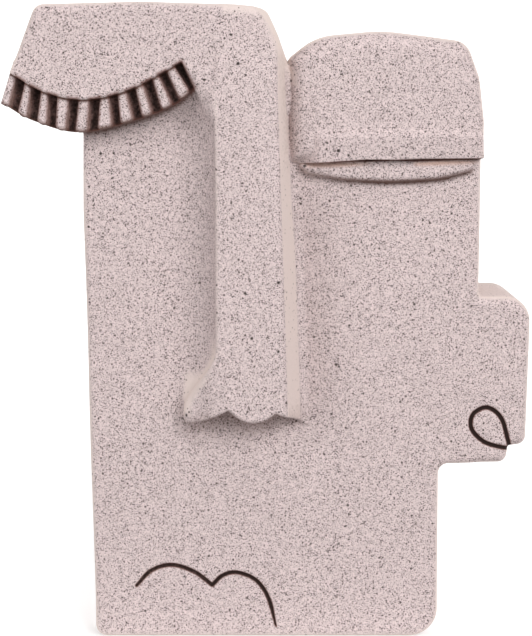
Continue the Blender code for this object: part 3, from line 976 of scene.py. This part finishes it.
wing_facet *= smooth_step((WING_TOP - 10 - vert_z) / 8) * smooth_step((vert_z - NOSE_BASE + 4) / 6)
spray = spray * (1 - (1 - FACET_SPRAY) * wing_facet)
spray = spray * (EDGE_SPRAY + (1 - EDGE_SPRAY) * smooth_step(from_edge))
spray = np.where(on_front, spray, HIDDEN_SPRAY)
store("sprayed", spray)
print("thinly sprayed:", int((spray < 0.5).sum()), "points")

# %% [markdown]
# ## The stone finish
#
# The coat is a pale, slightly pink spray, full of dark specks. Most are as small as grains of
# sand, some are larger, and a few are nearly black dots. A photograph of stone would repeat,
# and its specks would stretch over the sides, so they come from a three-dimensional cell
# pattern: each cell may hold one dot. That pattern is used at several sizes, so it is a node
# group of its own.

# %% Build the group of scattered dots
def add_node(tree, kind, settings=None, values=None):
    node = tree.nodes.new(kind)
    for key, value in (settings or {}).items():
        setattr(node, key, value)
    for key, value in (values or {}).items():
        node.inputs[key].default_value = value
    return node


def feed(tree, socket, value):
    """Links a socket to another one, or sets it to a number or a colour."""
    if isinstance(value, bpy.types.NodeSocket):
        tree.links.new(value, socket)
    else:
        socket.default_value = value


def calculate(tree, operation, *values, clamp=False):
    node = add_node(tree, "ShaderNodeMath", {"operation": operation, "use_clamp": clamp})
    for socket, value in zip(node.inputs, values):
        feed(tree, socket, value)
    return node.outputs[0]


def random_cells(tree, scale):
    """A cell pattern of this scale, and three random numbers for each of its cells."""
    place = add_node(tree, "ShaderNodeTexCoord")
    cells = add_node(tree, "ShaderNodeTexVoronoi", {"feature": "F1"}, {"Randomness": 1.0})
    random = add_node(tree, "ShaderNodeSeparateColor")
    tree.links.new(place.outputs["Object"], cells.inputs["Vector"])
    feed(tree, cells.inputs["Scale"], scale)
    tree.links.new(cells.outputs["Color"], random.inputs["Color"])
    return cells, random


def dots_group():
    """A group that gives a mask of dots scattered at random through space."""
    tree = bpy.data.node_groups.new("scattered dots", "ShaderNodeTree")
    for name in ("Scale", "Share", "Size", "Softness"):
        tree.interface.new_socket(name, in_out="INPUT", socket_type="NodeSocketFloat")
    tree.interface.new_socket("Mask", in_out="OUTPUT", socket_type="NodeSocketFloat")
    given = add_node(tree, "NodeGroupInput").outputs
    result = add_node(tree, "NodeGroupOutput")
    cells, random = random_cells(tree, given["Scale"])
    chosen = calculate(tree, "LESS_THAN", random.outputs["Red"], given["Share"])
    half = calculate(tree, "MULTIPLY", given["Size"], 0.5)
    half_size = calculate(tree, "MULTIPLY_ADD", random.outputs["Green"], half, half)
    past = calculate(tree, "SUBTRACT", cells.outputs["Distance"], half_size)
    faded = calculate(tree, "DIVIDE", past, given["Softness"])
    inside = calculate(tree, "SUBTRACT", 1.0, faded, clamp=True)
    mask = calculate(tree, "MULTIPLY", inside, chosen)
    tree.links.new(mask, result.inputs["Mask"])
    return tree


scattered_dots = dots_group()

# %% [markdown]
# ## Coat, specks and paint in one material
#
# The base colour drifts a little over a few millimetres. Over it lies a dense grain, in which
# each small cell has a tone of its own, then sparse dots in three sizes, and over those the
# wiped colour with its painted shade, and the paint. The same pattern roughens the surface, as
# sand in a paint does.

# %% Mix the stone material
COAT = (0.68, 0.562, 0.556, 1)
COAT_SHADE = (0.52, 0.431, 0.425, 1)
SMOOTH_COAT = (0.70, 0.592, 0.547, 1)
PAINT = (0.020, 0.010, 0.008, 1)
BROWN = (0.16, 0.062, 0.045, 1)
# Brown of the wiped colour, and of the painted shade beside the dome and the painted shadow under the
# nose.
WASH_AND_SHADE = (0.13, 0.062, 0.045, 1)
BLUSH = (0.66, 0.44, 0.36, 1)
GRAIN_SCALE = 2900.0
GRAIN_TONES = ((0.0, 0.02), (0.085, 0.26), (0.23, 0.76), (0.52, 0.97), (0.80, 1.11))
GRAIN_TINT = (1, 0.93, 0.90)
DOT_LAYERS = (
    (1150, 0.13, 0.40, (0.045, 0.028, 0.024, 1), 0.95),
    (600, 0.06, 0.27, (0.035, 0.022, 0.019, 1), 0.95),
    (330, 0.018, 0.21, (0.03, 0.020, 0.017, 1), 0.95),
)
DOT_SOFTNESS = 0.12
DRIFT_SCALE = 420.0
UNEVEN_SCALE = 700.0
WASH_AND_SHADE_UNEVEN = 0.7
PAINT_UNEVEN = 0.6
UNEVEN_MEAN = -0.3
WASH_AND_SHADE_STRENGTH = 0.85
BLUSH_STRENGTH = 0.8
SMEAR_REACH = 0.95
SMEAR_STRENGTH = 0.8
CORE_GROWTH = 1.4
SAND_SCALE = 1400.0
SAND_STRENGTH = 0.35
SAND_HEIGHT = 0.0002
ROUGHNESS = 0.85
SHINE = 0.2
FIRST_COLOUR = 6
SECOND_COLOUR = 7
MIXED_COLOUR = 2


def mix_colours(tree, factor, first, second, blend="MIX"):
    mix = add_node(tree, "ShaderNodeMix", {"data_type": "RGBA", "blend_type": blend})
    feed(tree, mix.inputs["Factor"], factor)
    feed(tree, mix.inputs[FIRST_COLOUR], first)
    feed(tree, mix.inputs[SECOND_COLOUR], second)
    return mix.outputs[MIXED_COLOUR]


def noise(tree, place, scale, detail):
    node = add_node(tree, "ShaderNodeTexNoise", values={"Scale": scale, "Detail": detail})
    tree.links.new(place.outputs["Object"], node.inputs["Vector"])
    return node.outputs["Fac"]


def stored(tree, name):
    return add_node(tree, "ShaderNodeAttribute", {"attribute_name": name}).outputs["Fac"]


def grain_tone(tree):
    """A tone for each small cell, mostly pale, with a tail of dark ones."""
    _, random = random_cells(tree, GRAIN_SCALE)
    tones = add_node(tree, "ShaderNodeValToRGB")
    ramp = tones.color_ramp
    ramp.elements.remove(ramp.elements[1])
    for index, (position, tone) in enumerate(GRAIN_TONES):
        element = ramp.elements[0] if index == 0 else ramp.elements.new(position)
        element.position = position
        warmth = min(tone, 1)
        element.color = (*(tone * (warmth + (1 - warmth) * tint) for tint in GRAIN_TINT), 1)
    tree.links.new(random.outputs["Red"], tones.inputs["Fac"])
    return tones.outputs["Color"]


def stone_material():
    material = bpy.data.materials.new("speckled stone")
    material.use_nodes = True
    tree = material.node_tree
    shader = tree.nodes["Principled BSDF"]
    place = add_node(tree, "ShaderNodeTexCoord")
    spray = stored(tree, "sprayed")
    colour = mix_colours(tree, noise(tree, place, DRIFT_SCALE, 2.0), COAT, COAT_SHADE)
    colour = mix_colours(tree, spray, colour, grain_tone(tree), "MULTIPLY")
    bare = calculate(tree, "SUBTRACT", 1.0, spray, clamp=True)
    colour = mix_colours(tree, bare, colour, SMOOTH_COAT)
    for scale, share, size, tone, strength in DOT_LAYERS:
        dots = add_node(tree, "ShaderNodeGroup", {"node_tree": scattered_dots})
        dots.inputs["Scale"].default_value = scale
        dots.inputs["Size"].default_value = size
        dots.inputs["Softness"].default_value = DOT_SOFTNESS
        tree.links.new(calculate(tree, "MULTIPLY", spray, share), dots.inputs["Share"])
        amount = calculate(tree, "MULTIPLY", dots.outputs["Mask"], strength)
        colour = mix_colours(tree, amount, colour, tone)
    uneven = noise(tree, place, UNEVEN_SCALE, 2.0)
    # The wiped brown, which also paints the shade beside the dome and along the lid's line, and the
    # shadow under the nose.
    wash_and_shade = calculate(tree, "MULTIPLY_ADD", uneven, WASH_AND_SHADE_UNEVEN, UNEVEN_MEAN)
    wash_and_shade = calculate(tree, "ADD", wash_and_shade, stored(tree, "brown"), clamp=True)
    wash_and_shade = calculate(tree, "MULTIPLY", wash_and_shade, WASH_AND_SHADE_STRENGTH)
    colour = mix_colours(tree, wash_and_shade, colour, WASH_AND_SHADE)
    blush = calculate(tree, "MULTIPLY", stored(tree, "pink"), BLUSH_STRENGTH, clamp=True)
    colour = mix_colours(tree, blush, colour, BLUSH)
    depth = calculate(tree, "MULTIPLY_ADD", uneven, PAINT_UNEVEN, UNEVEN_MEAN)
    depth = calculate(tree, "ADD", depth, stored(tree, "paint"))
    smear = calculate(tree, "ADD", depth, SMEAR_REACH, clamp=True)
    smear = calculate(tree, "MULTIPLY", smear, SMEAR_STRENGTH)
    core = calculate(tree, "MULTIPLY", depth, CORE_GROWTH, clamp=True)
    colour = mix_colours(tree, smear, colour, BROWN)
    colour = mix_colours(tree, core, colour, PAINT)
    tree.links.new(colour, shader.inputs["Base Color"])
    bump = add_node(tree, "ShaderNodeBump", values={"Strength": SAND_STRENGTH, "Distance": SAND_HEIGHT})
    tree.links.new(noise(tree, place, SAND_SCALE, 2.0), bump.inputs["Height"])
    tree.links.new(bump.outputs["Normal"], shader.inputs["Normal"])
    shader.inputs["Roughness"].default_value = ROUGHNESS
    shader.inputs["Specular IOR Level"].default_value = SHINE
    return material


face.data.materials.append(stone_material())
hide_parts("face_sculpture")
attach(face, "root")

# %% [markdown]
# ## A small white studio
#
# Objects for a shop are shown on a pale sheet that curves up behind them, so that no horizon
# shows. The sheet is a profile of a floor, a quarter circle and a wall, drawn sideways. It
# glows faintly behind the ornament, as a sheet does that is lit from behind, so that it stays
# white. In front of it the paper is grey, which keeps light from below off the face.

# %% Lay the floor and the backdrop
SHEET_FRONT = -0.3
SHEET_BACK = 1.4
SHEET_ROUND = 0.8
SHEET_TOP = 2.4
SHEET_HALF = 3.0
SHEET_STEPS = 24
SHEET_GLOW = 0.36
SHEET_WHITE = (0.8, 0.8, 0.8, 1)
SHEET_GREY = (0.35, 0.35, 0.35, 1)
SHEET_BLEND = (-0.08, 0.0)


def sheet_profile():
    profile = [(SHEET_FRONT, 0.0)]
    for step in range(SHEET_STEPS + 1):
        angle = math.pi / 2 * step / SHEET_STEPS
        along = SHEET_BACK - SHEET_ROUND + SHEET_ROUND * math.sin(angle)
        profile.append((along, SHEET_ROUND - SHEET_ROUND * math.cos(angle)))
    profile.append((SHEET_BACK, SHEET_TOP))
    return profile


bm = bmesh.new()
left_verts = [bm.verts.new((-SHEET_HALF, y, z)) for y, z in sheet_profile()]
right_verts = [bm.verts.new((SHEET_HALF, y, z)) for y, z in sheet_profile()]
for index in range(len(left_verts) - 1):
    corners = (left_verts[index], right_verts[index], right_verts[index + 1], left_verts[index + 1])
    bm.faces.new(corners)
sheet_mesh = bpy.data.meshes.new("studio sheet")
bm.to_mesh(sheet_mesh)
bm.free()
sheet_mesh.shade_smooth()
sheet = bpy.data.objects.new("studio_sheet", sheet_mesh)
bpy.context.scene.collection.objects.link(sheet)


def sheet_paper():
    """Paper that is white and glows behind the ornament, and is grey and dull before it."""
    material = bpy.data.materials.new("studio paper")
    material.use_nodes = True
    tree = material.node_tree
    shader = tree.nodes["Principled BSDF"]
    place = add_node(tree, "ShaderNodeNewGeometry")
    axes = add_node(tree, "ShaderNodeSeparateXYZ")
    tree.links.new(place.outputs["Position"], axes.inputs["Vector"])
    behind = add_node(tree, "ShaderNodeMapRange", values={
        "From Min": SHEET_BLEND[0],
        "From Max": SHEET_BLEND[1],
    })
    tree.links.new(axes.outputs["Y"], behind.inputs["Value"])
    share = behind.outputs["Result"]
    tree.links.new(mix_colours(tree, share, SHEET_GREY, SHEET_WHITE), shader.inputs["Base Color"])
    glow = calculate(tree, "MULTIPLY", share, SHEET_GLOW)
    tree.links.new(mix_colours(tree, glow, (0, 0, 0, 1), (1, 1, 1, 1)), shader.inputs["Emission Color"])
    shader.inputs["Emission Strength"].default_value = 1
    shader.inputs["Roughness"].default_value = 0.9
    return material


sheet_material = sheet_paper()
sheet_mesh.materials.append(sheet_material)

# %% [markdown]
# ## Soft light
#
# The sculpture is lit by one large soft lamp, which stands high on the right, and by the white
# room around it, which is brightest behind the camera. A weak lamp on the left opens the
# shade of the cove. The room is the world's colour. The colours go to the screen as they
# are, because a filmic curve would grey the white sheet.

# %% Light the studio
ROOM_NEAR = 0.80
ROOM_FAR = 0.12
ROOM_TOWARDS = (0.25, -0.88, 0.4)
ROOM_BLEND = (-0.2, 0.9)
KEY_POWER = 61
KEY_SIZE = 1.4
KEY_PLACE = Vector((1.45, -2.30, 1.70))
KEY_AIM = Vector((0, 0, 0.15))
FILL_POWER = 28
FILL_PLACE = Vector((-2.2, -1.6, 1.0))


def room_world():
    """A white room whose brightest part is above and behind the camera."""
    world = bpy.data.worlds.new("white room")
    world.use_nodes = True
    tree = world.node_tree
    direction = add_node(tree, "ShaderNodeTexCoord")
    towards = add_node(tree, "ShaderNodeVectorMath", {"operation": "DOT_PRODUCT"}, {1: ROOM_TOWARDS})
    tree.links.new(direction.outputs["Generated"], towards.inputs[0])
    blend = add_node(tree, "ShaderNodeMapRange", values={
        "From Min": ROOM_BLEND[0],
        "From Max": ROOM_BLEND[1],
        "To Min": ROOM_FAR,
        "To Max": ROOM_NEAR,
    })
    tree.links.new(towards.outputs["Value"], blend.inputs["Value"])
    background = tree.nodes["Background"]
    background.inputs["Color"].default_value = (1, 1, 1, 1)
    tree.links.new(blend.outputs["Result"], background.inputs["Strength"])
    return world


def soft_lamp(name, power, size, place, aim):
    data = bpy.data.lights.new(name, "AREA")
    data.shape = "SQUARE"
    data.size = size
    data.energy = power
    lamp = bpy.data.objects.new(name, data)
    lamp.location = place
    lamp.rotation_euler = (aim - place).to_track_quat("-Z", "Y").to_euler()
    bpy.context.scene.collection.objects.link(lamp)


bpy.context.scene.world = room_world()
soft_lamp("key_lamp", KEY_POWER, KEY_SIZE, KEY_PLACE, KEY_AIM)
soft_lamp("fill_lamp", FILL_POWER, KEY_SIZE, FILL_PLACE, KEY_AIM)
bpy.context.scene.view_settings.view_transform = "Standard"
print("the key lamp is", round((KEY_AIM - KEY_PLACE).length, 2), "m away")

# %% [markdown]
# ## Finish
#
# The fine surface has to have the size of the plain solid. Last, the scene is brought up to
# date.

# %% Finish
bpy.context.view_layer.update()
